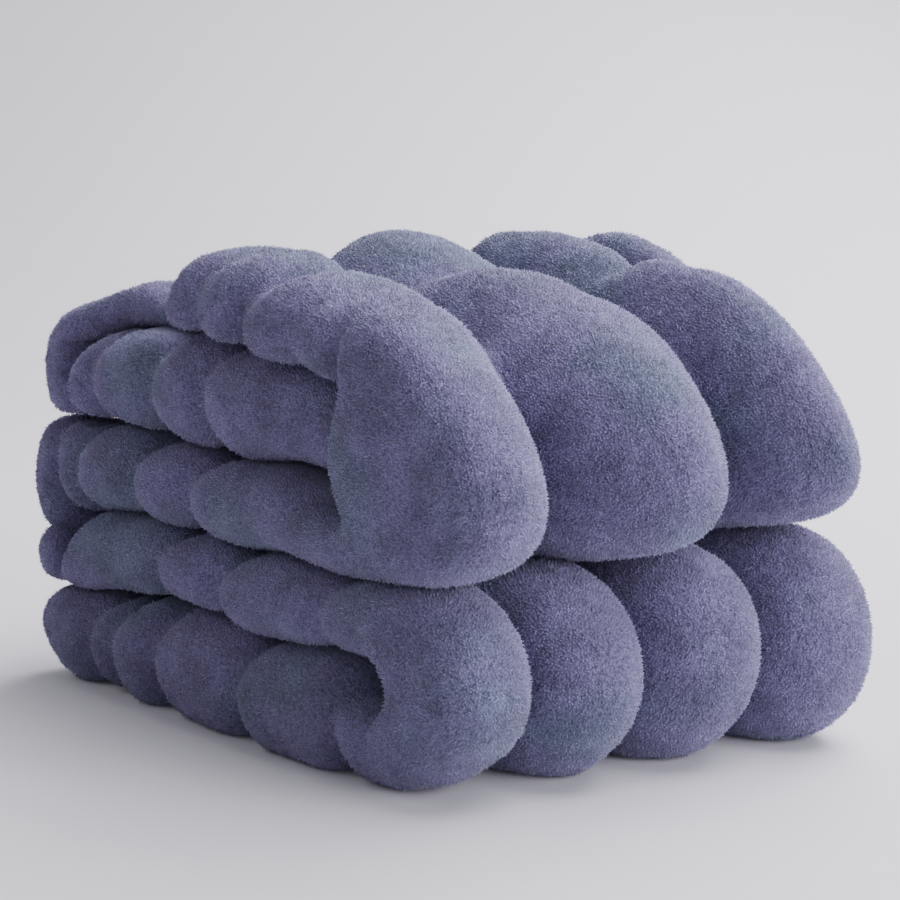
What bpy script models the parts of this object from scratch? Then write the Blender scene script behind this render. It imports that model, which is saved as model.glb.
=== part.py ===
"""A puffy flannel blanket folded into five layers: one filled body that runs back and forth along its folds."""

import bpy
import numpy as np

for old in list(bpy.data.objects):
    bpy.data.objects.remove(old, do_unlink=True)

# Sizes of the folded stack, in metres. X is its length, Y its depth from the front edge, Z up.
DEPTH = 0.305
GAP = 0.0024
FOLD_HOLLOW = 0.006
FLOOR_BAND = 0.030
FLOOR_SINK = 0.008

# Shares of the full thickness that are left at a sewn line, and at a pucker across a channel.
SEAM_SHARE = 0.42
FOLD_SEAM_SHARE = 0.48
PUCKER_SHARE = 0.80
PUCKER_INSET = 0.004
CORNER_SHARE = 0.10

# Colour and surface of the flannel.
COLOUR = (0.145, 0.150, 0.262, 1.0)
ROUGHNESS = 0.95

# Where the heights below are given, from the left end to the folds on the right.
STATIONS = (-0.19, -0.10, 0.00, 0.075, 0.105)

# Each layer's underside and top at the stations. facing is the way its first side looks.
LAYERS = {
    "first": {
        "facing": "down",
        "under": (0.000, 0.000, 0.000, 0.000, 0.000),
        "top": (0.058, 0.064, 0.059, 0.060, 0.056),
    },
    "second": {
        "facing": "up",
        "under": (0.058, 0.064, 0.059, 0.060, 0.056),
        "top": (0.110, 0.112, 0.106, 0.107, 0.110),
    },
    "third": {
        "facing": "down",
        "under": (0.110, 0.112, 0.106, 0.107, 0.110),
        "top": (0.160, 0.157, 0.152, 0.152, 0.186),
    },
    "fourth": {
        "facing": "down",
        "under": (0.160, 0.157, 0.152, 0.152, 0.152),
        "top": (0.206, 0.213, 0.217, 0.210, 0.210),
    },
    "fifth": {
        "facing": "up",
        "under": (0.206, 0.213, 0.217, 0.210, 0.189),
        "top": (0.243, 0.256, 0.266, 0.264, 0.262),
    },
}

# The blanket's run, a row per section in the order that the cloth takes. creases are the puckers
# sewn across a layer. reach is how far a fold or an end stands out past its last crease, sag is
# how much more of that is low down, and outside is the side of the cloth that a fold shows. puffs
# counts the swellings round a fold.
RUN = (
    {"kind": "end", "layer": "first", "x": -0.194, "reach": -0.034},
    {"kind": "layer", "layer": "first", "creases": (-0.194, -0.162, -0.130, -0.078, 0.014, 0.106, 0.142)},
    {"kind": "fold", "layers": ("first", "second"), "x": 0.142, "reach": 0.066, "sag": 0.10,
     "outside": 0, "puffs": 1},
    {"kind": "layer", "layer": "second", "creases": (0.142, 0.085, -0.003, -0.072, -0.186)},
    {"kind": "fold", "layers": ("second", "third"), "x": -0.186, "reach": -0.046, "sag": 0.00,
     "outside": 1, "puffs": 2},
    {"kind": "layer", "layer": "third", "creases": (-0.186, -0.100, -0.057, -0.020, 0.050, 0.106)},
    {"kind": "fold", "layers": ("third", "fifth"), "x": 0.106, "reach": 0.106, "sag": 0.20,
     "outside": 0, "puffs": 1},
    {"kind": "layer", "layer": "fifth", "creases": (0.106, 0.072, 0.026, -0.016, -0.056, -0.182)},
    {"kind": "fold", "layers": ("fifth", "fourth"), "x": -0.182, "reach": -0.044, "sag": 0.10,
     "outside": 0, "puffs": 1},
    {"kind": "layer", "layer": "fourth", "creases": (-0.182, -0.076, -0.012, 0.056)},
    {"kind": "end", "layer": "fourth", "x": 0.056, "reach": 0.026},
)

# The sewn lines between the four channels, as shares of the depth from the front edge, and how
# far each channel stands out past the first at a fold on the right. There is a row for each
# section of the run, and the lines drift from one to the next.
CHANNELS = (
    {"lines": (0.235, 0.470, 0.735), "stand_out": (0.000, 0.000, 0.000, 0.000)},
    {"lines": (0.235, 0.470, 0.735), "stand_out": (0.000, 0.003, 0.007, 0.011)},
    {"lines": (0.235, 0.470, 0.735), "stand_out": (0.000, 0.003, 0.007, 0.011)},
    {"lines": (0.235, 0.470, 0.735), "stand_out": (0.000, 0.000, 0.000, 0.000)},
    {"lines": (0.240, 0.490, 0.750), "stand_out": (0.000, 0.000, 0.000, 0.000)},
    {"lines": (0.260, 0.560, 0.800), "stand_out": (0.000, 0.000, 0.000, 0.000)},
    {"lines": (0.300, 0.690, 0.955), "stand_out": (0.000, 0.004, 0.006, -0.040)},
    {"lines": (0.300, 0.660, 0.880), "stand_out": (0.000, 0.000, 0.000, -0.010)},
    {"lines": (0.270, 0.560, 0.800), "stand_out": (0.000, 0.000, 0.000, 0.000)},
    {"lines": (0.260, 0.520, 0.760), "stand_out": (0.000, 0.000, 0.000, 0.000)},
    {"lines": (0.250, 0.500, 0.750), "stand_out": (0.000, 0.000, 0.000, 0.000)},
)
DRIFT_RINGS = 6

# Where a channel is measured across its width, from one sewn line to the next. The outer two are
# finer at the rounded edges of the blanket.
ACROSS = (
    (-1.00, -0.95, -0.74, -0.20, 0.58),
    (-1.00, -0.62, 0.00, 0.62),
    (-1.00, -0.62, 0.00, 0.62),
    (-1.00, -0.58, 0.20, 0.74, 0.95, 1.00),
)
STEPS_PER_PUFF = 4
STEPS_PER_FOLD = 9
STEPS_PER_END = 3


def height(layer, side, x):
    """Height of a layer's underside or top at x, with half the gap taken off where layers meet."""
    level = np.interp(x, STATIONS, LAYERS[layer][side])
    if (layer, side) in (("first", "under"), ("fifth", "top")):
        return level
    return level + GAP / 2 if side == "under" else level - GAP / 2


def swelling(share):
    """Fullness between two creases, from 0 at a crease to 1."""
    return min(1.0, 1.35 * abs(np.sin(np.pi * share)) ** 0.7)


def ring(first_side, second_side, puff, fold=0.0, outside=None, right=False, end=0.0):
    """One section across the cloth, as the points of its two sides in X and Z."""
    return {
        "sides": (np.array(first_side), np.array(second_side)),
        "puff": puff,
        "fold": fold,
        "outside": outside,
        "right": right,
        "end": end,
    }


def layer_rings(row):
    rings = []
    name = row["layer"]
    for start, stop in zip(row["creases"][:-1], row["creases"][1:]):
        for step in range(STEPS_PER_PUFF):
            share = step / STEPS_PER_PUFF
            x = start + (stop - start) * share
            sides = [(x, height(name, "under", x)), (x, height(name, "top", x))]
            if LAYERS[name]["facing"] == "up":
                sides.reverse()
            rings.append(ring(*sides, swelling(share)))
    return rings


def half_ellipse(x, reach, low, high, angle, sag=0.0):
    """A point on the half ellipse that stands on the upright line at x from low to high."""
    out = reach * np.cos(angle) ** 0.9 * (1 - sag * np.sin(angle))
    return (x + out, (low + high) / 2 + (high - low) / 2 * np.sin(angle))


def fold_rings(row):
    """Rings round a fold: a half ellipse outside, and a narrow one inside."""
    rings = []
    x = row["x"]
    lower, upper = sorted(row["layers"], key=lambda name: LAYERS[name]["under"])
    rising = lower == row["layers"][0]
    outer = height(lower, "under", x), height(upper, "top", x)
    inner = height(lower, "top", x), height(upper, "under", x)
    hollow = np.copysign(FOLD_HOLLOW, row["reach"])
    for step in range(STEPS_PER_FOLD):
        share = step / STEPS_PER_FOLD
        angle = np.pi * (share - 0.5) * (1 if rising else -1)
        sides = [
            half_ellipse(x, row["reach"], *outer, angle, row["sag"]),
            half_ellipse(x, hollow, *inner, angle),
        ]
        if row["outside"] == 1:
            sides.reverse()
        puff = swelling(share * row["puffs"])
        strength = np.sin(np.pi * share) ** 0.5
        rings.append(ring(*sides, puff, strength, row["outside"], row["reach"] > 0))
    return rings


def end_rings(row, opening):
    """Rings that round off a free end."""
    rings = []
    name, x = row["layer"], row["x"]
    low, high = height(name, "under", x), height(name, "top", x)
    turns = np.linspace(0, 0.94, STEPS_PER_END + 1)
    for turn in turns[:0:-1] if opening else turns:
        angle = turn * np.pi / 2
        at = x + row["reach"] * np.sin(angle)
        half = (high - low) / 2 * np.cos(angle)
        sides = [(at, (low + high) / 2 - half), (at, (low + high) / 2 + half)]
        if LAYERS[name]["facing"] == "up":
            sides.reverse()
        puff = 0.4 if turn == 0 else 1.0
        rings.append(ring(*sides, puff, end=turn))
    return rings


def whole_run():
    """All the rings in order, each with its own sewn lines."""
    rings = []
    for place, row in enumerate(RUN):
        if row["kind"] == "end":
            new = end_rings(row, place == 0)
        elif row["kind"] == "layer":
            new = layer_rings(row)
        else:
            new = fold_rings(row)
        for each in new:
            each["lines"] = CHANNELS[place]["lines"]
            each["stand_out"] = CHANNELS[place]["stand_out"]
        rings += new
    for key in ("lines", "stand_out"):
        values = np.array([each[key] for each in rings])
        padded = np.pad(values, ((DRIFT_RINGS, DRIFT_RINGS), (0, 0)), mode="edge")
        width = 2 * DRIFT_RINGS + 1
        for index, each in enumerate(rings):
            each[key] = padded[index:index + width].mean(axis=0)
    return rings


def across(lines):
    """(y, channel, place in it, whether it is on the blanket's edge side) for the points of a side."""
    edges = np.concatenate(([0.0], lines, [1.0])) * DEPTH - DEPTH / 2
    points = []
    for channel, places in enumerate(ACROSS):
        middle = (edges[channel] + edges[channel + 1]) / 2
        half = (edges[channel + 1] - edges[channel]) / 2
        for place in places:
            rim = (channel == 0 and place < 0) or (channel == len(ACROSS) - 1 and place > 0)
            points.append((middle + half * place, channel, place, rim))
    return points


def fullness(place, rim, valley):
    """Share of the full thickness at a place within a channel."""
    if rim:
        return (1 - abs(place) ** 2.4) ** (1 / 2.2)
    return valley + (1 - valley) * (1 - abs(place) ** 2.4) ** 0.55


def ring_points(section):
    """The closed loop of a ring: its first side from front to back, then its second side back."""
    first, second = section["sides"]
    middle, half = (first + second) / 2, (first - second) / 2
    fold, puff = section["fold"], section["puff"]
    pucker = PUCKER_SHARE + (1 - PUCKER_SHARE) * puff
    corner = 1 - CORNER_SHARE * (1 - np.cos(section["end"] * np.pi / 2))
    loop = ([], [])
    for y, channel, place, rim in across(section["lines"]):
        flat = fullness(place, rim, SEAM_SHARE) * pucker
        bent = fullness(place, rim, FOLD_SEAM_SHARE) * (0.5 + 0.5 * pucker)
        shift = section["stand_out"][channel] * fold if section["right"] else 0.0
        y = np.sign(y) * (abs(y) - PUCKER_INSET * (1 - puff)) * corner
        for side, sign in ((0, 1), (1, -1)):
            in_fold = 2 * bent - 1 if side == section["outside"] else 1.0
            reach = flat + (in_fold - flat) * fold
            x, z = middle + half * reach * sign
            loop[side].append((x + shift, y, z))
    return loop[0] + loop[1][-2:0:-1]


def settled(points):
    """The underside pressed flat on the floor, and the stack centred on its length."""
    points = np.array(points)
    low = points[:, 2] < FLOOR_BAND
    sink = FLOOR_SINK * (1 - points[low, 2] / FLOOR_BAND)
    points[low, 2] = np.maximum(0.0, points[low, 2] - sink)
    points[:, 0] -= (points[:, 0].min() + points[:, 0].max()) / 2
    return points


def cap_faces(base, count, opening):
    """The faces that close one end of the run, from front to back."""
    faces = []
    for i in range(count // 2):
        corners = (base + i, base + i + 1, base + (count - i - 1) % count, base + (count - i) % count)
        corners = list(dict.fromkeys(corners))
        faces.append(corners[::-1] if opening else corners)
    return faces


def blanket_mesh():
    rings = [ring_points(section) for section in whole_run()]
    count = len(rings[0])
    last = (len(rings) - 1) * count
    faces = cap_faces(0, count, True) + cap_faces(last, count, False)
    for start in range(0, last, count):
        for i in range(count):
            j = (i + 1) % count
            faces.append((start + i, start + j, start + count + j, start + count + i))
    points = settled([point for each in rings for point in each])
    mesh = bpy.data.meshes.new("blanket")
    mesh.from_pydata(points.tolist(), [], faces)
    return mesh


def flannel():
    material = bpy.data.materials.new("flannel")
    material.use_nodes = True
    shader = material.node_tree.nodes["Principled BSDF"]
    shader.inputs["Base Color"].default_value = COLOUR
    shader.inputs["Roughness"].default_value = ROUGHNESS
    shader.inputs["Metallic"].default_value = 0.0
    return material


mesh = blanket_mesh()
mesh.materials.append(flannel())
blanket = bpy.data.objects.new("blanket", mesh)
bpy.context.scene.collection.objects.link(blanket)
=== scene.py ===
import bpy
import math
import numpy as np
from mathutils import Matrix, Vector, noise


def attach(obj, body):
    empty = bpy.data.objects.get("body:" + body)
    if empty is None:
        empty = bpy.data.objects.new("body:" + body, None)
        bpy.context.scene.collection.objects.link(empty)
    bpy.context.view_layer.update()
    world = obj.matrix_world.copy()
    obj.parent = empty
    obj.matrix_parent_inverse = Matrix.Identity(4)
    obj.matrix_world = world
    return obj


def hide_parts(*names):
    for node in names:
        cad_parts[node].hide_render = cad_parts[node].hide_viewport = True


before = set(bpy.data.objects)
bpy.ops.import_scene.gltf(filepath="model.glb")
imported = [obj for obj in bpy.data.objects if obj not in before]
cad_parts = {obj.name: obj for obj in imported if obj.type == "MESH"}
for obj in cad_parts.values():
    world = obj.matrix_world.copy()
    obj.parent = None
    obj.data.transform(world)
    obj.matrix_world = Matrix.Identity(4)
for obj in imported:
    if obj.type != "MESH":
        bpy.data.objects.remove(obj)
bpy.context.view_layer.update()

# ---------------------------------------------------------------------------------------------
# The blanket. Two faces of plush flannel are filled and sewn together in four channels, gathered
# crosswise into swellings, and the whole is folded back and forth into five layers.

# How many channels there are. Sizes are in metres: the depth from the front edge to the back one, and
# how far a layer is carried past the line that it shares with the next one.
CHANNELS = 4
DEPTH = 0.305
OVERLAP = 0.0012

# Heights of each layer's underside and top at the stations along the stack.
STATIONS = (-0.190, -0.140, -0.065, -0.045, 0.000, 0.040, 0.075, 0.105, 0.125, 0.150)
GROUND = (0.0,) * len(STATIONS)
FIRST_TOP = (0.056, 0.063, 0.068, 0.070, 0.064, 0.064, 0.066, 0.063, 0.048, 0.034)
JOIN_1 = (0.056, 0.063, 0.068, 0.070, 0.064, 0.064, 0.066, 0.068, 0.070, 0.071)
JOIN_2 = (0.101, 0.112, 0.111, 0.111, 0.108, 0.112, 0.109, 0.110, 0.112, 0.112)
THIRD_TOP = (0.162, 0.165, 0.161, 0.160, 0.157, 0.160, 0.151, 0.142, 0.140, 0.140)
JOIN_3 = (0.162, 0.165, 0.161, 0.160, 0.157, 0.161, 0.159, 0.158, 0.158, 0.158)
JOIN_4 = (0.214, 0.222, 0.226, 0.230, 0.228, 0.222, 0.216, 0.206, 0.200, 0.200)
CREST = (0.235, 0.247, 0.234, 0.272, 0.275, 0.266, 0.260, 0.2535, 0.248, 0.242)
LAYERS = {
    "first": {"facing": "down", "under": GROUND, "top": FIRST_TOP},
    "second": {"facing": "up", "under": JOIN_1, "top": JOIN_2},
    "third": {"facing": "down", "under": JOIN_2, "top": THIRD_TOP},
    "fourth": {"facing": "down", "under": JOIN_3, "top": JOIN_4},
    "fifth": {"facing": "up", "under": JOIN_4, "top": CREST},
}

# What holds in a section of the run unless the section says otherwise. seam is the share of the
# thickness left at the sewn lines, edge how square the front and back edges are, and patch the piece
# of pile. The rest has a value for each channel: stand_out is how far it stands out at a fold on the
# right, swell how full it is in a fold, skew how far its dome leans to the back, power how blunt the
# dome is on top and slope how gently its sides fall.
PLAIN = {
    "creases": (), "seam": 0.38, "edge": 2.4, "patch": 0,
    "stand_out": (0.0, 0.0, 0.0, 0.0), "swell": (1.0, 1.0, 1.0, 1.0), "skew": (0.0, 0.0, 0.0, 0.0),
    "power": (2.2, 2.2, 2.2, 2.2), "slope": (0.60, 0.60, 0.60, 0.60),
}

# The run of the cloth, a row per section. x, from and to are where a section stands on its layer, and
# step is the space between its rings. lines holds the edges and the sewn lines between the channels,
# as shares of the depth. valley is the seam of a section's first side, where it has its own.
# reach is how far a fold or an end stands out. In a fold, sag is how much more of that is low down,
# round how pointed the turn is and hollow how far the inner turn is pushed out. outside says which of
# the two sides, 0 or 1, is the outer one.
# A place is X on a layer and the share of the turn in a fold. A crease is (place, depth, how far it
# runs in from the edge) and may end with how much wider it is. The creases are the front channel's:
# the other channels have those in others, or else the front channel's shifted along. An inset is
# (place, how far the front edge is drawn back).
QUARTERS = (0.0, 0.235, 0.470, 0.735, 1.0)
STEPPED_OUT = (0.000, 0.003, 0.007, 0.011)
RUN = (
    {"kind": "end", "layer": "first", "x": -0.182, "reach": -0.049, "step": 0.0035,
     "lines": QUARTERS, "patch": 5, "insets": ((0, 0.004),)},
    {"kind": "layer", "layer": "first", "from": -0.182, "to": 0.136, "step": 0.0042,
     "lines": QUARTERS, "stand_out": STEPPED_OUT,
     "creases": ((-0.161, 1.15, 1), (-0.133, 1.15, 1), (-0.084, 1.25, 1), (0.006, 1.25, 1),
                 (0.098, 1.1, 1)),
     "insets": ((-0.182, 0.004), (-0.131, 0.002), (-0.07, 0), (0.10, 0), (0.136, 0.008))},
    {"kind": "fold", "layers": ("first", "second"), "x": 0.136, "reach": 0.080, "sag": -0.04,
     "round": 0.78, "hollow": 0.018, "outside": 0, "step": 0.0034, "edge": 3.2,
     "lines": QUARTERS, "stand_out": STEPPED_OUT, "patch": 2, "insets": ((0, 0.006), (0.25, 0.0))},
    {"kind": "layer", "layer": "second", "from": 0.136, "to": -0.194, "step": 0.0042,
     "lines": QUARTERS,
     "creases": ((0.092, 0.85, 1), (-0.010, 1.2, 1), (-0.076, 1.2, 1), (-0.194, 1.2, 1)),
     "insets": ((0.136, 0), (-0.194, 0.0))},
    {"kind": "fold", "layers": ("second", "third"), "x": -0.194, "reach": -0.048, "sag": 0.00,
     "round": 0.6, "hollow": 0.004, "outside": 1, "step": 0.0036,
     "lines": (0.0, 0.240, 0.490, 0.750, 1.0), "patch": 5,
     "creases": ((0.47, 2.4, 1),), "insets": ((0, 0.003),)},
    {"kind": "layer", "layer": "third", "from": -0.194, "to": 0.114, "step": 0.0042,
     "lines": (0.0, 0.260, 0.560, 0.800, 1.0),
     "creases": ((-0.194, 1.0, 1), (-0.168, 1.2, 1), (-0.103, 1.25, 1), (-0.042, 1.25, 1)),
     "insets": ((-0.194, 0.0), (0.114, 0.0))},
    {"kind": "fold", "layers": ("third", "fifth"), "x": 0.114, "reach": 0.103, "sag": 0.42,
     "round": 0.80, "hollow": -0.010, "outside": 0, "step": 0.0034, "seam": 0.30, "edge": 3.6,
     "lines": (0.0, 0.304, 0.682, 0.955, 1.03), "patch": 2,
     "stand_out": (0.000, 0.019, 0.018, 0.000), "swell": (1.0, 1.0, 1.0, 0.66),
     "skew": (-0.28, -0.08, -0.08, 0.0), "power": (2.6, 1.6, 1.8, 2.0),
     "slope": (0.58, 0.75, 0.68, 0.62),
     "others": ((), (), ((0.5, 0.35, 1, 2.2),)), "insets": ((0, 0.0),)},
    {"kind": "layer", "layer": "fifth", "from": 0.114, "to": -0.180, "step": 0.0036,
     "seam": 0.50, "valley": -0.30, "edge": 4.5,
     "lines": (0.0, 0.300, 0.660, 0.900, 1.02), "patch": 3, "swell": (1.0, 1.0, 1.0, 0.9),
     "skew": (0.0, -0.05, -0.05, 0.0), "power": (2.2, 1.7, 1.7, 2.0),
     "slope": (0.60, 0.72, 0.72, 0.62),
     "creases": ((0.108, 0.9, 0.3), (0.074, 0.5, 0.3), (0.022, 1.3, 1), (-0.020, 0.9, 0.5),
                 (-0.061, 1.3, 1)),
     "others": (((0.024, 1.5, 1, 1.5), (-0.105, 1.2, 1, 1.5)),
                ((0.055, 1.5, 1, 1.5), (-0.085, 1.2, 1, 1.5)),
                ((0.060, 1.2, 1, 1.5), (-0.050, 1.2, 1, 1.5))),
     "insets": ((0.114, 0.0), (0.03, 0.000), (-0.052, 0.000), (-0.068, 0.030), (-0.150, 0.030),
                (-0.180, 0.008))},
    {"kind": "fold", "layers": ("fifth", "fourth"), "x": -0.180, "reach": -0.047, "sag": 0.12,
     "round": 0.8, "hollow": 0.004, "outside": 0, "step": 0.0036,
     "lines": (0.0, 0.270, 0.560, 0.800, 1.0), "patch": 5, "insets": ((0, 0.005),)},
    {"kind": "layer", "layer": "fourth", "from": -0.180, "to": 0.078, "step": 0.0045,
     "lines": (0.0, 0.260, 0.520, 0.760, 1.0),
     "creases": ((-0.180, 1.1, 1), (-0.147, 0.9, 1), (-0.082, 1.0, 1), (-0.022, 1.1, 1)),
     "insets": ((-0.180, 0.002), (-0.170, 0.0), (0.02, 0), (0.078, 0.012))},
    {"kind": "end", "layer": "fourth", "x": 0.078, "reach": 0.022, "step": 0.0045,
     "lines": (0.0, 0.250, 0.500, 0.750, 1.0), "insets": ((0, 0.014),)},
)
RUN = tuple({**PLAIN, **row} for row in RUN)

# A free end of the cloth: how far round its edge is carried, and how blunt it is.
END_TURN = 0.985
END_ROUND = 0.9

# Points laid finely along a layer or a fold, and along an end, before the rings are spaced out, and
# the fewest rings in a section. How many rings on each side a value is eased over. The points across
# a channel, and how much they crowd towards its sewn lines.
FINE_POINTS = 240
END_POINTS = 60
FEWEST_RINGS = 6
PATH_EASE = 2
SEAM_EASE = 5
EDGE_EASE = 8
CHANNEL_EASE = 21
POINTS_PER_CHANNEL = 15
CROWDING = 0.75

# A crease: how much it thins the cloth, how much of that is left in a fold, how far it draws the edges
# in, its widths ahead and behind, how sharp its bottom is, how it fades inwards, how far it shifts
# from channel to channel, and how it leans back along the run on a side that faces down and on one
# that faces up.
CREASE_SHARE = 0.66
CREASE_IN_FOLD = 0.5
CREASE_INSET = 0.019
CREASE_WIDTHS = (0.017, 0.030)
CREASE_SHARPNESS = 0.93
CREASE_FADE = 0.3
CREASE_SHIFT = (0.000, 0.014, -0.012, 0.006)
EDGE_LEAN = (0.004, 0.020)

# The share of the thickness left at a fold's sewn line, how round the edges are, how far an end's
# corners are drawn in, and the width of the rims that belong to the front and back pile. A fold's
# pile starts where FOLD_SHOWS of the fold has, and none grows under BARE_BELOW.
FOLD_SEAM_SHARE = 0.28
RIM_ROUND = 2.2
END_DRAW = 0.10
RIM = 0.022
BARE_BELOW = 0.002
FOLD_SHOWS = 0.05

# The softening of small kinks, the slight lumps of the filling, and the part pressed on the floor.
SOFTENING = 2
LUMP_SCALE = 21.0
LUMP_HEIGHT = 0.0022
LUMP_SIDEWAYS = 0.2
LUMP_CORE = 0.004
FLOOR_BAND = 0.018
FLOOR_SINK = 0.004

# Places where the stack is pushed about as a whole: from a place, over a reach, by a move.
NUDGES = (
    {"at": (0.190, 0.090, 0.120), "reach": (0.090, 0.080, 0.060), "move": (0.000, 0.000, 0.010)},
    {"at": (0.140, 0.165, 0.250), "reach": (0.090, 0.045, 0.090), "move": (0.000, 0.000, -0.026)},
    {"at": (-0.070, 0.020, 0.270), "reach": (0.070, 0.075, 0.030), "move": (0.000, 0.000, 0.009)},
    {"at": (0.095, -0.100, 0.260), "reach": (0.040, 0.040, 0.030), "move": (0.000, 0.000, 0.004)},
    {"at": (-0.200, -0.140, 0.235), "reach": (0.040, 0.050, 0.030), "move": (0.004, 0.000, -0.006)},
    {"at": (-0.080, -0.130, 0.250), "reach": (0.030, 0.050, 0.030), "move": (0.000, 0.000, -0.005)},
    {"at": (0.060, 0.095, 0.265), "reach": (0.045, 0.040, 0.030), "move": (0.000, 0.000, 0.007)},
    {"at": (0.190, 0.130, 0.000), "reach": (0.060, 0.060, 0.030), "move": (0.008, -0.004, 0.000)},
    {"at": (0.150, 0.095, 0.245), "reach": (0.080, 0.045, 0.055), "move": (0.000, 0.000, 0.012)},
    {"at": (-0.205, -0.135, 0.188), "reach": (0.035, 0.045, 0.022), "move": (0.000, 0.000, -0.014)},
    {"at": (-0.205, -0.135, 0.142), "reach": (0.035, 0.045, 0.022), "move": (0.000, 0.000, 0.006)},
    {"at": (-0.205, -0.135, 0.082), "reach": (0.035, 0.045, 0.020), "move": (0.000, 0.000, -0.012)},
    {"at": (-0.205, -0.135, 0.040), "reach": (0.035, 0.045, 0.020), "move": (0.000, 0.000, 0.006)},
    {"at": (-0.240, -0.110, 0.104), "reach": (0.030, 0.070, 0.011), "move": (0.014, 0.000, 0.000)},
    {"at": (0.015, -0.165, 0.240), "reach": (0.070, 0.035, 0.030), "move": (0.000, -0.006, -0.013)},
    {"at": (0.195, -0.130, 0.000), "reach": (0.060, 0.070, 0.035), "move": (-0.012, 0.004, 0.006)},
    {"at": (0.100, 0.005, 0.258), "reach": (0.030, 0.050, 0.030), "move": (0.000, 0.000, 0.005)},
    {"at": (0.150, -0.050, 0.232), "reach": (0.035, 0.090, 0.035), "move": (-0.002, 0.000, -0.005)},
    {"at": (0.085, -0.054, 0.245), "reach": (0.050, 0.020, 0.050), "move": (0.000, 0.000, -0.010)},
    {"at": (0.115, 0.058, 0.240), "reach": (0.045, 0.020, 0.050), "move": (0.000, 0.000, -0.009)},
)


def height(layer, side, x):
    """The height of a layer's underside or top, with the small overlap where two layers meet."""
    level = np.interp(x, STATIONS, LAYERS[layer][side])
    if (layer, side) in (("first", "under"), ("fifth", "top")):
        return level
    return level - OVERLAP if side == "under" else level + OVERLAP


def section_path(row):
    """Both sides' points in X and Z along one section, finely, with how much of a fold each is."""
    if row["kind"] == "layer":
        x = np.linspace(row["from"], row["to"], FINE_POINTS)
        low = np.stack((x, height(row["layer"], "under", x)), 1)
        high = np.stack((x, height(row["layer"], "top", x)), 1)
        flip = LAYERS[row["layer"]]["facing"] == "up"
        fold = np.zeros(len(x))
    elif row["kind"] == "end":
        turn = np.linspace(0.0, END_TURN, END_POINTS)
        if row["layer"] == "first":
            turn = np.linspace(END_TURN, 0.0, END_POINTS)
        low_z, high_z = (height(row["layer"], side, row["x"]) for side in ("under", "top"))
        at = row["x"] + row["reach"] * np.sin(turn * np.pi / 2)
        half = (high_z - low_z) / 2 * np.cos(turn * np.pi / 2) ** END_ROUND
        low = np.stack((at, (low_z + high_z) / 2 - half), 1)
        high = np.stack((at, (low_z + high_z) / 2 + half), 1)
        flip = LAYERS[row["layer"]]["facing"] == "up"
        fold = np.zeros(len(at))
    else:
        lower, upper = sorted(row["layers"], key=lambda name: LAYERS[name]["under"])
        share = np.linspace(0, 1, FINE_POINTS)
        angle = np.pi * (share - 0.5) * (1 if lower == row["layers"][0] else -1)
        bottom, top = height(lower, "under", row["x"]), height(upper, "top", row["x"])
        out = row["reach"] * np.cos(angle) ** row["round"] * (1 - row["sag"] * np.sin(angle))
        low = np.stack((row["x"] + out, (bottom + top) / 2 + (top - bottom) / 2 * np.sin(angle)), 1)
        bottom, top = height(lower, "top", row["x"]), height(upper, "under", row["x"])
        into = np.copysign(1, row["reach"]) * row["hollow"] * np.cos(angle)
        high = np.stack((row["x"] + into, (bottom + top) / 2 + (top - bottom) / 2 * np.sin(angle)), 1)
        flip = row["outside"] == 1
        fold = np.sin(np.pi * share) ** 0.5
    return (high, low, fold) if flip else (low, high, fold)


def smoothed(values, width):
    """A moving average along the run, with its first and last values carried on past its ends."""
    kernel = np.hanning(2 * width + 3)[1:-1]
    kernel /= kernel.sum()
    padded = np.pad(values, ((width, width),) + ((0, 0),) * (values.ndim - 1), mode="edge")
    if values.ndim == 1:
        return np.convolve(padded, kernel, "valid")
    return np.stack([np.convolve(padded[:, i], kernel, "valid") for i in range(values.shape[1])], 1)


def share_along(row, place):
    """A place in a row, X on a layer and a share elsewhere, as a share of the row's length."""
    if row["kind"] == "layer":
        return (place - row["from"]) / (row["to"] - row["from"])
    return place


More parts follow.
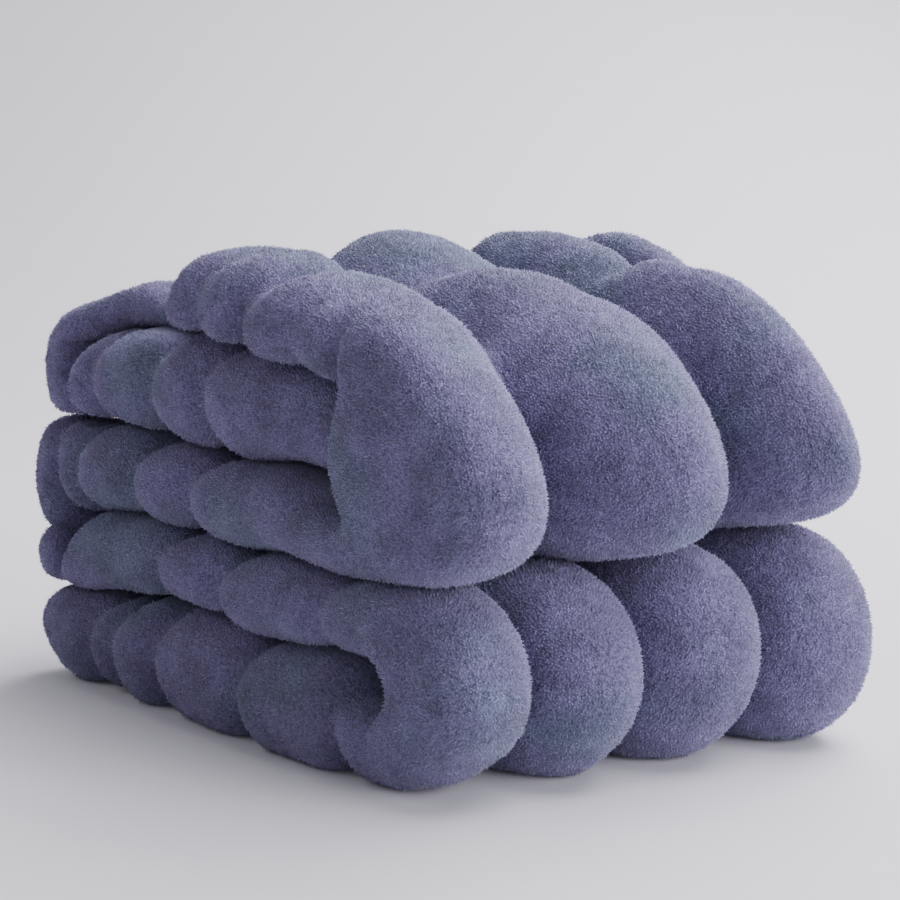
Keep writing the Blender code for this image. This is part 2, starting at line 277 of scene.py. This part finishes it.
def whole_run():
    """The rings of the whole run: both sides' points, a table of what holds at each, and creases."""
    sides, columns, creases = ([], []), [], [[] for _ in range(CHANNELS)]
    travelled = 0.0
    for place, row in enumerate(RUN):
        first, second, fold = section_path(row)
        pace = [np.linalg.norm(np.diff(side, axis=0), axis=1) for side in (first, second)]
        mean = pace[row["outside"]] if row["kind"] == "fold" else (pace[0] + pace[1]) / 2
        along = np.concatenate(([0.0], np.cumsum(mean)))
        count = max(FEWEST_RINGS, round(along[-1] / row["step"]))
        picked = np.linspace(0, along[-1], count, endpoint=place == len(RUN) - 1)
        for target, source in zip(sides, (first, second)):
            target.append(np.stack([np.interp(picked, along, source[:, i]) for i in (0, 1)], 1))
        heading = np.sign(row["to"] - row["from"]) if row["kind"] == "layer" else 0.0
        for channel in range(CHANNELS):
            has_own = channel > 0 and "others" in row
            own = row["others"][channel - 1] if has_own else row["creases"]
            moved = 0.0 if has_own else CREASE_SHIFT[channel] * abs(heading)
            for at, depth, run_in, *wide in own:
                distance = travelled + share_along(row, at) * along[-1] + moved
                widening = wide[0] if wide else 1.0
                creases[channel].append((distance, depth, run_in, heading or 1.0, widening))
        insets = [(share_along(row, at), inset) for at, inset in row["insets"]]
        end = np.zeros(count)
        if row["kind"] == "end":
            end = np.abs(sides[0][-1][:, 0] - row["x"]) / abs(row["reach"])
        column = {
            "along": travelled + picked,
            "fold": np.interp(picked, along, fold),
            "heading": np.full(count, heading),
            "inset": np.interp(picked / along[-1], *zip(*insets)),
            "outside": np.full(count, 1 - 2 * row["outside"] if row["kind"] == "fold" else 0),
            "rightward": np.full(count, row["kind"] == "fold" and row["reach"] > 0),
            "is_end": np.full(count, row["kind"] == "end"),
            "end": end,
            "valley": np.full(count, row.get("valley", row["seam"])),
        }
        for name in ("seam", "edge", "patch"):
            column[name] = np.full(count, row[name])
        for name in ("skew", "power", "slope", "lines", "stand_out", "swell"):
            column[name] = np.tile(row[name], (count, 1))
        columns.append(column)
        travelled += along[-1]
    table = {name: np.concatenate([column[name] for column in columns]) for name in columns[0]}
    return [np.concatenate(side) for side in sides], table, creases


def across():
    """(channel, place from -1 to 1, whether it is on an outer edge) for the points of one side."""
    points = []
    for channel in range(CHANNELS):
        turn = np.linspace(0, 1, POINTS_PER_CHANNEL + 1)
        place = CROWDING * -np.cos(np.pi * turn) + (1 - CROWDING) * (2 * turn - 1)
        last = channel == CHANNELS - 1
        for value in place if last else place[:-1]:
            points.append((channel, value, (channel == 0 and value < 0) or (last and value > 0)))
    channels, places, rims = zip(*points)
    return np.array(channels), np.array(places), np.array(rims)


def crease_factor(along, inward, creases):
    """How deep in a crease each point is, from 0 on top of a swelling."""
    found = np.zeros_like(along)
    for at, depth, run_in, direction, wide in creases:
        offset = (along - at) * direction / wide
        width = np.where(offset > 0, *CREASE_WIDTHS)
        near = CREASE_SHARPNESS * np.clip(1 - np.abs(offset) / width, 0, 1)
        fade = 1.0
        if run_in < 1:
            fade = np.clip((run_in + CREASE_FADE - inward) / CREASE_FADE, 0, 1)
        found = np.maximum(found, depth * fade * (1 - np.sqrt(1 - near ** 2)))
    return found


def blanket_points():
    """The surface as rings by places round a ring, and the patch of pile that each point is in."""
    (first, second), table, creases = whole_run()
    channels, places, rims = across()
    edges = smoothed(table["lines"], CHANNEL_EASE) * DEPTH - DEPTH / 2
    stand_out = smoothed(table["stand_out"], CHANNEL_EASE)
    swell = smoothed(table["swell"], CHANNEL_EASE)[:, channels]
    seams = [smoothed(table[name], SEAM_EASE)[:, None] for name in ("valley", "seam")]
    inset = smoothed(table["inset"], PATH_EASE)[:, None]
    first, second = smoothed(first, PATH_EASE), smoothed(second, PATH_EASE)
    middle, half = (first + second) / 2, (first - second) / 2
    fold, outside = table["fold"][:, None], table["outside"][:, None]
    heading = table["heading"][:, None]
    low, high = edges[:, channels], edges[:, channels + 1]
    y = (low + high) / 2 + (high - low) / 2 * places
    leant = places - smoothed(table["skew"], CHANNEL_EASE)[:, channels] * (1 - places ** 2)
    square = smoothed(table["edge"], EDGE_EASE)[:, None]
    bulge = np.where(rims, (1 - np.abs(leant) ** square) ** (1 / RIM_ROUND), 0)
    power = smoothed(table["power"], CHANNEL_EASE)[:, channels]
    dome = (1 - np.abs(leant) ** power) ** smoothed(table["slope"], CHANNEL_EASE)[:, channels]
    bent = np.where(rims, bulge, FOLD_SEAM_SHARE + (1 - FOLD_SEAM_SHARE) * dome)
    corner = np.sqrt(np.clip(1 - table["end"] ** 2, 0, 1))[:, None]
    loops, patches = [], []
    for side, sign in ((0, 1.0), (1, -1.0)):
        flat = np.where(rims, bulge, seams[side] + (1 - seams[side]) * dome)
        facing_up = (half[:, 1] * sign > 0)[:, None]
        lean = np.where(facing_up, EDGE_LEAN[1], EDGE_LEAN[0]) * flat ** 2
        along = table["along"][:, None] - lean * heading
        crease = np.zeros_like(y)
        for channel in range(CHANNELS):
            mine = channels == channel
            inward = (places[mine] + 1) / 2 if channel == 0 else np.zeros(mine.sum())
            crease[:, mine] = crease_factor(along[:, mine], inward, creases[channel])
        fuller = 1 - CREASE_SHARE * crease
        creased = (1 - CREASE_IN_FOLD) + CREASE_IN_FOLD * fuller
        in_fold = np.where(outside == sign, 2 * bent * swell * creased - 1, 1.0)
        even = flat * fuller
        reach = (even + (in_fold - even) * fold) * sign
        xz = middle[:, None, :] + half[:, None, :] * reach[:, :, None]
        shift = stand_out[:, channels] * fold * table["rightward"][:, None]
        edge = np.abs(2 * y / DEPTH)
        depth = np.sign(y) * (np.abs(y) - CREASE_INSET * crease * edge ** 3)
        depth = depth + inset * np.clip(-2 * y / DEPTH, 0, 1) ** 2
        depth = depth * (1 - END_DRAW * (1 - corner))
        loops.append(np.stack((xz[:, :, 0] + shift, depth, xz[:, :, 1]), 2))
        turned = (fold > FOLD_SHOWS) & (outside == sign)
        level = (outside == 0) & (table["is_end"][:, None] | (side == 0))
        patch = np.where(turned | level, table["patch"][:, None], 0)
        patch = np.repeat(patch, len(places), 1)
        patch[y < RIM - DEPTH / 2] = 1
        patch[y > DEPTH / 2 - RIM] = 4
        patches.append(np.where(xz[:, :, 1] > BARE_BELOW, patch, 0))
    points = np.concatenate((loops[0], loops[1][:, -2:0:-1]), 1)
    patches = np.concatenate((patches[0], patches[1][:, -2:0:-1]), 1)
    return points, patches


def nudged(points):
    """The points moved by every nudge, less the further they are from its place."""
    moved = points.copy()
    for nudge in NUDGES:
        offset = (points - np.array(nudge["at"])) / np.array(nudge["reach"])
        near = np.exp(-(offset ** 2).sum(-1))
        moved += near[:, :, None] * np.array(nudge["move"])
    return moved


def softened(points, passes):
    """The small kinks at the bottoms of the creases eased, along the run and round each ring."""
    for _ in range(passes):
        points[1:-1] = 0.5 * points[1:-1] + 0.25 * (points[:-2] + points[2:])
        points = 0.5 * points + 0.25 * (np.roll(points, 1, 1) + np.roll(points, -1, 1))
    return points


def uneven(points):
    """The slight lumps of the filling, pushed out from the middle of each ring."""
    inside = points.mean(1, keepdims=True)
    lumps = np.array([
        [noise.noise(Vector(point) * LUMP_SCALE) for point in ring] for ring in points.tolist()
    ])
    outward = points - inside
    outward[:, :, 1] *= LUMP_SIDEWAYS
    outward /= np.maximum(np.linalg.norm(outward, axis=2, keepdims=True), LUMP_CORE)
    return points + outward * lumps[:, :, None] * LUMP_HEIGHT


def settled(points):
    """The underside pressed flat on the floor."""
    z = points[:, :, 2]
    sink = FLOOR_SINK * (1 - z / FLOOR_BAND)
    points[:, :, 2] = np.where(z < FLOOR_BAND, np.maximum(0.0, z - sink), z)
    return points


def ring_mesh(name, points, patches):
    """One closed mesh from rings of points, with its two ends closed from front to back."""
    rings, count = points.shape[:2]
    index = np.arange(rings * count).reshape(rings, count)
    after = np.roll(index, -1, 1)
    quads = np.stack((index[:-1], after[:-1], after[1:], index[1:]), 2).reshape(-1, 4)
    faces = quads.tolist()
    for ring, opening in ((index[0], True), (index[-1], False)):
        for i in range(count // 2):
            corners = [ring[i], ring[i + 1], ring[(count - i - 1) % count], ring[(count - i) % count]]
            corners = list(dict.fromkeys(int(c) for c in corners))
            faces.append(corners[::-1] if opening else corners)
    mesh = bpy.data.meshes.new(name)
    mesh.from_pydata(points.reshape(-1, 3).tolist(), [], faces)
    numbers = np.zeros(len(faces), np.int32)
    numbers[:len(quads)] = patches[:-1].reshape(-1)
    mesh.attributes.new("patch", "INT", "FACE").data.foreach_set("value", numbers)
    mesh.polygons.foreach_set("use_smooth", [True] * len(faces))
    return mesh


# The dye: a blue violet with soft patches that turn towards blue grey, more of them high up and at the
# left end, and worn a little lighter and darker all over. The bare cloth between the tufts is painted
# darker as the shade under the pile, speckled finely.
VIOLET = (0.186, 0.162, 0.308, 1)
BLUE_GREY = (0.155, 0.173, 0.275, 1)
PATCH_SCALE = 13.0
PATCH_BAND = (0.48, 0.66)
UPPER = {"low": 0.0, "high": 0.09, "from_low": 0.250, "from_high": 0.274}
LEFT_END = {"low": 0.10, "high": 0.0, "from_low": -0.225, "from_high": -0.12}
WORN_SCALE = 45.0
WORN_DETAIL = 6.0
WORN = (0.76, 1.24)
ROUGHNESS = 0.95
GLOSS = 0.12
SHEEN = 0.30
SHEEN_ROUGHNESS = 0.55
SHEEN_TINT = (0.80, 0.82, 1.0, 1)
FIBRE_SCALE = 520.0
FIBRE_DETAIL = 3.0
# Painted shade: the bare cloth between the tufts is darkened to 0.30 to 0.85 of the dye.
PAINTED_GROUND_SHADE = (0.30, 0.85)
FIBRE_BUMP = {"Strength": 0.8, "Distance": 0.0012}
CLOUD_RANGE = (0.3, 0.7)


def node(tree, kind, settings=(), values=()):
    """A new node with its settings and the values of its sockets."""
    made = tree.nodes.new(kind)
    for name, value in dict(settings).items():
        setattr(made, name, value)
    for name, value in dict(values).items():
        made.inputs[name].default_value = value
    return made


def ranged(tree, value, low, high, from_low=0.0, from_high=1.0):
    """A number carried from one range to another."""
    made = node(tree, "ShaderNodeMapRange", (), {
        "From Min": from_low, "From Max": from_high, "To Min": low, "To Max": high,
    })
    tree.links.new(value, made.inputs["Value"])
    return made.outputs["Result"]


def combined(tree, operation, first, second):
    """Two numbers put together by a sum or a product."""
    made = node(tree, "ShaderNodeMath", {"operation": operation})
    tree.links.new(first, made.inputs[0])
    tree.links.new(second, made.inputs[1])
    return made.outputs["Value"]


def clouds(tree, place, scale, detail=2.0):
    """A soft random pattern, from about 0.3 to 0.7."""
    made = node(tree, "ShaderNodeTexNoise", (), {"Scale": scale, "Detail": detail})
    tree.links.new(place, made.inputs["Vector"])
    return made.outputs["Fac"]


def dyed_cloth(name, light):
    """The flannel's dye as a material. light(tree, place) gives how light each spot of it is, painted
    shade of the pile included.
    """
    material = bpy.data.materials.new(name)
    material.use_nodes = True
    tree = material.node_tree
    shader = tree.nodes["Principled BSDF"]
    place = node(tree, "ShaderNodeTexCoord").outputs["Object"]
    apart = node(tree, "ShaderNodeSeparateXYZ")
    tree.links.new(place, apart.inputs["Vector"])
    upper = ranged(tree, apart.outputs["Z"], **UPPER)
    left_end = ranged(tree, apart.outputs["X"], **LEFT_END)
    bleached = combined(tree, "ADD", clouds(tree, place, PATCH_SCALE), upper)
    bleached = combined(tree, "ADD", bleached, left_end)
    turned = ranged(tree, bleached, 0.0, 1.0, *PATCH_BAND)
    hue = node(tree, "ShaderNodeMix", {"data_type": "RGBA"})
    tree.links.new(turned, hue.inputs["Factor"])
    for socket, value in ((6, VIOLET), (7, BLUE_GREY)):
        hue.inputs[socket].default_value = value
    worn = ranged(tree, clouds(tree, place, WORN_SCALE, WORN_DETAIL), *WORN, *CLOUD_RANGE)
    shade = node(tree, "ShaderNodeVectorMath", {"operation": "SCALE"})
    tree.links.new(hue.outputs[2], shade.inputs[0])
    tree.links.new(combined(tree, "MULTIPLY", worn, light(tree, place)), shade.inputs["Scale"])
    tree.links.new(shade.outputs["Vector"], shader.inputs["Base Color"])
    shader.inputs["Roughness"].default_value = ROUGHNESS
    shader.inputs["Specular IOR Level"].default_value = GLOSS
    shader.inputs["Sheen Weight"].default_value = SHEEN
    shader.inputs["Sheen Roughness"].default_value = SHEEN_ROUGHNESS
    shader.inputs["Sheen Tint"].default_value = SHEEN_TINT
    return material


def shaded_ground(tree, place):
    """Painted shade on the bare cloth under the pile, speckled as the fibres part."""
    fibres = clouds(tree, place, FIBRE_SCALE, FIBRE_DETAIL)
    return ranged(tree, fibres, *PAINTED_GROUND_SHADE, *CLOUD_RANGE)


flannel = dyed_cloth("plush_flannel", shaded_ground)
tree = flannel.node_tree
place = tree.nodes["Texture Coordinate"].outputs["Object"]
bump = node(tree, "ShaderNodeBump", (), FIBRE_BUMP)
tree.links.new(clouds(tree, place, FIBRE_SCALE, FIBRE_DETAIL), bump.inputs["Height"])
tree.links.new(bump.outputs["Normal"], tree.nodes["Principled BSDF"].inputs["Normal"])

points, patches = blanket_points()
points = settled(nudged(uneven(softened(points, SOFTENING))))
blanket_mesh = ring_mesh("plush_blanket", points, patches)
blanket_mesh.materials.append(flannel)
blanket = bpy.data.objects.new("plush_blanket", blanket_mesh)
bpy.context.scene.collection.objects.link(blanket)

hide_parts("blanket")
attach(blanket, "root")

# ---------------------------------------------------------------------------------------------
# The pile. Brushed polyester fibres a few millimetres long stand all over the flannel, clumped in
# tufts that lean with the brushing. They stand on every face that shows, one piece to a side.

PILE = (
    {"name": "pile_front", "patch": 1, "spacing": 0.00137},
    {"name": "pile_right", "patch": 2, "spacing": 0.00137},
    {"name": "pile_top", "patch": 3, "spacing": 0.00137},
    {"name": "pile_back", "patch": 4, "spacing": 0.00160},
    {"name": "pile_left", "patch": 5, "spacing": 0.00155},
)

# A tuft: its size, how deep its root sits, how far it leans and turns by itself and leans with the
# brushing, how fine the brushed swirls are, its random sizes, and how much taller it is inside a swirl.
# Its roots are painted darker than its tip as the shade deep in the pile, with the tip painted a little
# lighter, and each tuft and clump has its own random shade. Then the most places looked at in a square
# metre, and how near the floor a tuft may come.
TUFT_WIDTH = 0.0021
TUFT_LENGTH = 0.0028
TUFT_ROOT = 0.0011
TUFT_LEAN = 0.35
TUFT_TURN = 6.0
BRUSHED_LEAN = 2.6
BRUSHED_SCALE = 190.0
SMALLEST = (0.75, 0.75, 0.65)
LARGEST = (1.25, 1.25, 1.25)
SWIRL_HEIGHT = (0.65, 1.35)
SIZE_SEED = 3
SHADE_SEED = 5
# Painted shade at the roots of the tufts and painted light at their tips.
PAINTED_ROOT_SHADE = (0.62, 1.12)
TUFT_SHADE = (0.92, 1.08)
CLUMP_SCALE = 260.0
CLUMP_SHADE = (0.80, 1.20)
MOST_PLACES = 1500000.0
LOWEST_POINT = 0.0002


def pile_light(tree, place):
    """Painted shade at the roots and painted light at the tips, for the depth of the pile, and a little
    different from tuft to tuft and clump to clump.
    """
    tip = node(tree, "ShaderNodeAttribute", {"attribute_name": "tip"}).outputs["Fac"]
    tuft = node(tree, "ShaderNodeAttribute", {"attribute_name": "tuft"}).outputs["Fac"]
    clump = ranged(tree, clouds(tree, place, CLUMP_SCALE, 1.0), *CLUMP_SHADE, *CLOUD_RANGE)
    own = combined(tree, "MULTIPLY", ranged(tree, tip, *PAINTED_ROOT_SHADE), ranged(tree, tuft, *TUFT_SHADE))
    return combined(tree, "MULTIPLY", own, clump)


def pile_tree(material):
    """A node tree that stands tufts on the faces of one patch: leaning, turned and sized at random."""
    tree = bpy.data.node_groups.new("pile", "GeometryNodeTree")
    tree.interface.new_socket("Geometry", in_out="INPUT", socket_type="NodeSocketGeometry")
    for name, kind, value in (
        ("Patch", "NodeSocketInt", 1), ("Spacing", "NodeSocketFloat", 0.0014),
        ("Width", "NodeSocketFloat", TUFT_WIDTH), ("Length", "NodeSocketFloat", TUFT_LENGTH),
        ("Root", "NodeSocketFloat", TUFT_ROOT), ("Lean", "NodeSocketFloat", TUFT_LEAN),
        ("Seed", "NodeSocketInt", 7),
    ):
        tree.interface.new_socket(name, in_out="INPUT", socket_type=kind).default_value = value
    tree.interface.new_socket("Geometry", in_out="OUTPUT", socket_type="NodeSocketGeometry")
    link = tree.links.new
    given = node(tree, "NodeGroupInput").outputs
    stored = {"data_type": "FLOAT", "domain": "POINT"}

    number = node(tree, "GeometryNodeInputNamedAttribute", {"data_type": "INT"}, {"Name": "patch"})
    chosen = node(tree, "FunctionNodeCompare", {"data_type": "INT", "operation": "EQUAL"})
    link([o for o in number.outputs if o.enabled and o.name == "Attribute"][0], chosen.inputs[2])
    link(given["Patch"], chosen.inputs[3])
    places = node(tree, "GeometryNodeDistributePointsOnFaces", {"distribute_method": "POISSON"})
    link(given["Geometry"], places.inputs["Mesh"])
    link(chosen.outputs["Result"], places.inputs["Selection"])
    link(given["Spacing"], places.inputs["Distance Min"])
    places.inputs["Density Max"].default_value = MOST_PLACES
    link(given["Seed"], places.inputs["Seed"])

    cone = node(tree, "GeometryNodeMeshCone", {"fill_type": "NGON"}, {"Vertices": 3, "Radius Top": 0.0})
    half = node(tree, "ShaderNodeMath", {"operation": "MULTIPLY"}, {1: 0.5})
    link(given["Width"], half.inputs[0])
    link(half.outputs["Value"], cone.inputs["Radius Bottom"])
    link(given["Length"], cone.inputs["Depth"])
    tip = node(tree, "GeometryNodeStoreNamedAttribute", stored, {"Name": "tip"})
    link(cone.outputs["Mesh"], tip.inputs["Geometry"])
    link(cone.outputs["Top"], tip.inputs["Value"])
    sunk = node(tree, "GeometryNodeTransform")
    down = node(tree, "ShaderNodeCombineXYZ")
    below = node(tree, "ShaderNodeMath", {"operation": "MULTIPLY"}, {1: -1.0})
    link(given["Root"], below.inputs[0])
    link(below.outputs["Value"], down.inputs["Z"])
    link(tip.outputs["Geometry"], sunk.inputs["Geometry"])
    link(down.outputs["Vector"], sunk.inputs["Translation"])

    loose = node(tree, "FunctionNodeRandomValue", {"data_type": "FLOAT_VECTOR"}, {
        "Min": (-1.0, -1.0, -TUFT_TURN), "Max": (1.0, 1.0, TUFT_TURN),
    })
    link(given["Seed"], loose.inputs["Seed"])
    leaning = node(tree, "ShaderNodeVectorMath", {"operation": "SCALE"})
    link(loose.outputs["Value"], leaning.inputs[0])
    link(given["Lean"], leaning.inputs["Scale"])
    lie = node(tree, "ShaderNodeTexNoise", (), {"Scale": BRUSHED_SCALE, "Detail": 0.0})
    link(node(tree, "GeometryNodeInputPosition").outputs["Position"], lie.inputs["Vector"])
    centred = node(tree, "ShaderNodeVectorMath", {"operation": "SUBTRACT"}, {1: (0.5, 0.5, 0.5)})
    link(lie.outputs["Color"], centred.inputs[0])
    brushed = node(tree, "ShaderNodeVectorMath", {"operation": "MULTIPLY_ADD"})
    brushed.inputs[1].default_value = (BRUSHED_LEAN, BRUSHED_LEAN, 0.0)
    link(centred.outputs["Vector"], brushed.inputs[0])
    link(leaning.outputs["Vector"], brushed.inputs[2])
    turn = node(tree, "FunctionNodeEulerToRotation")
    link(brushed.outputs["Vector"], turn.inputs["Euler"])
    stood = node(tree, "FunctionNodeRotateRotation", {"rotation_space": "LOCAL"})
    link(places.outputs["Rotation"], stood.inputs["Rotation"])
    link(turn.outputs["Rotation"], stood.inputs["Rotate By"])

    size = node(tree, "FunctionNodeRandomValue", {"data_type": "FLOAT_VECTOR"}, {
        "Min": SMALLEST, "Max": LARGEST, "Seed": SIZE_SEED,
    })
    upright = node(tree, "ShaderNodeCombineXYZ", (), {"X": 1.0, "Y": 1.0})
    link(ranged(tree, lie.outputs["Fac"], *SWIRL_HEIGHT, *CLOUD_RANGE), upright.inputs["Z"])
    grown_size = node(tree, "ShaderNodeVectorMath", {"operation": "MULTIPLY"})
    link(size.outputs["Value"], grown_size.inputs[0])
    link(upright.outputs["Vector"], grown_size.inputs[1])
    own = node(tree, "FunctionNodeRandomValue", {"data_type": "FLOAT"}, {"Seed": SHADE_SEED})
    tuft = node(tree, "GeometryNodeStoreNamedAttribute", stored, {"Name": "tuft"})
    link(places.outputs["Points"], tuft.inputs["Geometry"])
    link([o for o in own.outputs if o.enabled][0], tuft.inputs["Value"])
    stand = node(tree, "GeometryNodeInstanceOnPoints")
    link(tuft.outputs["Geometry"], stand.inputs["Points"])
    link(sunk.outputs["Geometry"], stand.inputs["Instance"])
    link(stood.outputs["Rotation"], stand.inputs["Rotation"])
    link(grown_size.outputs["Vector"], stand.inputs["Scale"])
    real = node(tree, "GeometryNodeRealizeInstances")
    link(stand.outputs["Instances"], real.inputs["Geometry"])
    coloured = node(tree, "GeometryNodeSetMaterial")
    coloured.inputs["Material"].default_value = material
    link(real.outputs["Geometry"], coloured.inputs["Geometry"])
    link(coloured.outputs["Geometry"], node(tree, "NodeGroupOutput").inputs["Geometry"])
    return tree


def tuft_map(mesh):
    """A map for the tufts' colours. A tuft is four vertices, three at its root and its tip, and they
    have a small square of the map, with the tip inside the other three."""
    corners = np.empty(len(mesh.loops), int)
    mesh.loops.foreach_get("vertex_index", corners)
    tips = np.empty(len(mesh.vertices), np.float32)
    mesh.attributes["tip"].data.foreach_get("value", tips)
    summit = int(np.argmax(tips[:4]))
    across_map = math.ceil(math.sqrt(len(mesh.vertices) / 4))
    tuft, place = corners // 4, corners % 4
    roots = [i for i in range(4) if i != summit]
    side_spots, base_spots = np.zeros((4, 2)), np.zeros((4, 2))
    side_spots[roots + [summit]] = ((0.04, 0.06), (0.96, 0.06), (0.50, 0.96), (0.50, 0.36))
    base_spots[roots] = ((0.03, 0.97), (0.28, 0.97), (0.03, 0.60))
    is_base = np.repeat(~(place.reshape(-1, 3) == summit).any(1), 3)
    spots = np.where(is_base[:, None], base_spots[place], side_spots[place])
    cells = np.stack((tuft % across_map, tuft // across_map), 1)
    mesh.uv_layers.new(name="OFBake").data.foreach_set("uv", ((cells + spots) / across_map).ravel())


pile = dyed_cloth("plush_pile", pile_light)
tufts = pile_tree(pile)
inputs = {item.name: item.identifier for item in tufts.interface.items_tree if item.in_out == "INPUT"}
for row in PILE:
    piece = bpy.data.objects.new(row["name"], blanket_mesh)
    bpy.context.scene.collection.objects.link(piece)
    growth = piece.modifiers.new("pile", "NODES")
    growth.node_group = tufts
    growth[inputs["Patch"]] = row["patch"]
    growth[inputs["Spacing"]] = row["spacing"]
    growth[inputs["Seed"]] = row["patch"]
    graph = bpy.context.evaluated_depsgraph_get()
    evaluated = piece.evaluated_get(graph)
    grown = bpy.data.meshes.new_from_object(evaluated, preserve_all_data_layers=True, depsgraph=graph)
    piece.modifiers.remove(growth)
    piece.data = grown
    grown.name = row["name"]
    places = np.empty(len(grown.vertices) * 3, np.float32)
    grown.vertices.foreach_get("co", places)
    places[2::3] = np.maximum(places[2::3], LOWEST_POINT)
    grown.vertices.foreach_set("co", places)
    grown.polygons.foreach_set("use_smooth", [True] * len(grown.polygons))
    tuft_map(grown)
    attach(piece, "root")

# ---------------------------------------------------------------------------------------------
# The floor. A roll of plain pale paper, run out flat under the blanket and curved up behind it.
# It is one strip of faces along its side view, square on to the camera.

VIEW_AZIMUTH = math.radians(53)
FLOOR_FRONT = -2.5
FLOOR_BACK = 1.2
CURVE_RADIUS = 1.6
CURVE_STEPS = 16
PAPER_TOP = 4.5
HALF_WIDTH = 4.0
PAPER_COLOUR = (0.80, 0.79, 0.83, 1)
PAPER_ROUGHNESS = 0.85

profile = [(FLOOR_FRONT, 0.0), (FLOOR_BACK, 0.0)]
for step in range(1, CURVE_STEPS + 1):
    turn = math.pi / 2 * step / CURVE_STEPS
    reach = FLOOR_BACK + CURVE_RADIUS * math.sin(turn)
    profile.append((reach, CURVE_RADIUS - CURVE_RADIUS * math.cos(turn)))
profile.append((FLOOR_BACK + CURVE_RADIUS, PAPER_TOP))
away = Vector((-math.sin(VIEW_AZIMUTH), math.cos(VIEW_AZIMUTH), 0))
sideways = Vector((away.y, -away.x, 0))
floor_verts, floor_faces = [], []
for reach, rise in profile:
    for width in (-HALF_WIDTH, HALF_WIDTH):
        floor_verts.append(tuple(away * reach + sideways * width + Vector((0, 0, rise))))
for i in range(len(profile) - 1):
    floor_faces.append((2 * i, 2 * i + 1, 2 * i + 3, 2 * i + 2))
floor_mesh = bpy.data.meshes.new("floor")
floor_mesh.from_pydata(floor_verts, [], floor_faces)
floor_mesh.polygons.foreach_set("use_smooth", [True] * len(floor_mesh.polygons))
floor = bpy.data.objects.new("floor", floor_mesh)
bpy.context.scene.collection.objects.link(floor)
paper = bpy.data.materials.new("paper")
paper.use_nodes = True
paper_shader = paper.node_tree.nodes["Principled BSDF"]
paper_shader.inputs["Base Color"].default_value = PAPER_COLOUR
paper_shader.inputs["Roughness"].default_value = PAPER_ROUGHNESS
floor_mesh.materials.append(paper)

# ---------------------------------------------------------------------------------------------
# Light and camera. Three large soft lamps stand on the right, behind and above, with two weak ones
# in front and on the left, a faint one on the paper behind, and a nearly dark sky. The camera stands
# low, off the stack's front right corner.

LAMPS = (
    {"name": "right", "place": (2.235, 0.394, 0.608), "power": 63},
    {"name": "behind", "place": (-0.568, 1.561, 1.662), "power": 74},
    {"name": "above", "place": (0.732, 0.614, 2.147), "power": 54},
    {"name": "front", "place": (1.761, -1.477, 0.489), "power": 10},
    {"name": "left", "place": (-0.900, -1.559, 1.511), "power": 12},
)
LAMP_TARGET = (0.0, 0.0, 0.1)
LAMP_SIZE = (1.7, 1.7)
LAMP_COLOUR = (1.0, 0.985, 1.05)
BACKDROP = {"place": (-0.9, 0.9, 2.2), "target": (-2.2, 1.8, 0.9), "size": (2.4, 0.8), "power": 3}
BACKDROP_SPREAD = math.radians(110)
SKY = (0.75, 0.76, 0.80, 1)
SKY_STRENGTH = 0.04
VIEW_ELEVATION = math.radians(8)
CAMERA_PLACE = (1.1995, -0.8945, 0.3627)
LENS = 104.0
SENSOR = 36.0

world = bpy.data.worlds.new("studio")
world.use_nodes = True
world.node_tree.nodes["Background"].inputs["Color"].default_value = SKY
world.node_tree.nodes["Background"].inputs["Strength"].default_value = SKY_STRENGTH
bpy.context.scene.world = world


def area_light(name, place, target, size, power, colour=(1, 1, 1)):
    """A rectangular soft lamp at a place, facing a target."""
    data = bpy.data.lights.new(name, "AREA")
    data.shape = "RECTANGLE"
    data.size, data.size_y = size
    data.energy = power
    data.color = colour
    lamp = bpy.data.objects.new(name, data)
    lamp.location = place
    lamp.rotation_euler = (Vector(target) - Vector(place)).to_track_quat("-Z", "Y").to_euler()
    bpy.context.scene.collection.objects.link(lamp)
    return lamp


for row in LAMPS:
    area_light(row["name"], row["place"], LAMP_TARGET, LAMP_SIZE, row["power"], LAMP_COLOUR)
backdrop_light = area_light("backdrop", **BACKDROP)
backdrop_light.data.spread = BACKDROP_SPREAD

camera_data = bpy.data.cameras.new("camera")
camera_data.lens = LENS
camera_data.sensor_width = SENSOR
camera = bpy.data.objects.new("camera", camera_data)
bpy.context.scene.collection.objects.link(camera)
level = math.cos(VIEW_ELEVATION)
back = Vector((
    math.sin(VIEW_AZIMUTH) * level, -math.cos(VIEW_AZIMUTH) * level, math.sin(VIEW_ELEVATION),
))
across_view = Vector((math.cos(VIEW_AZIMUTH), math.sin(VIEW_AZIMUTH), 0))
turned = Matrix((across_view, back.cross(across_view), back)).transposed().to_4x4()
turned.translation = CAMERA_PLACE
camera.matrix_world = turned
bpy.context.scene.camera = camera
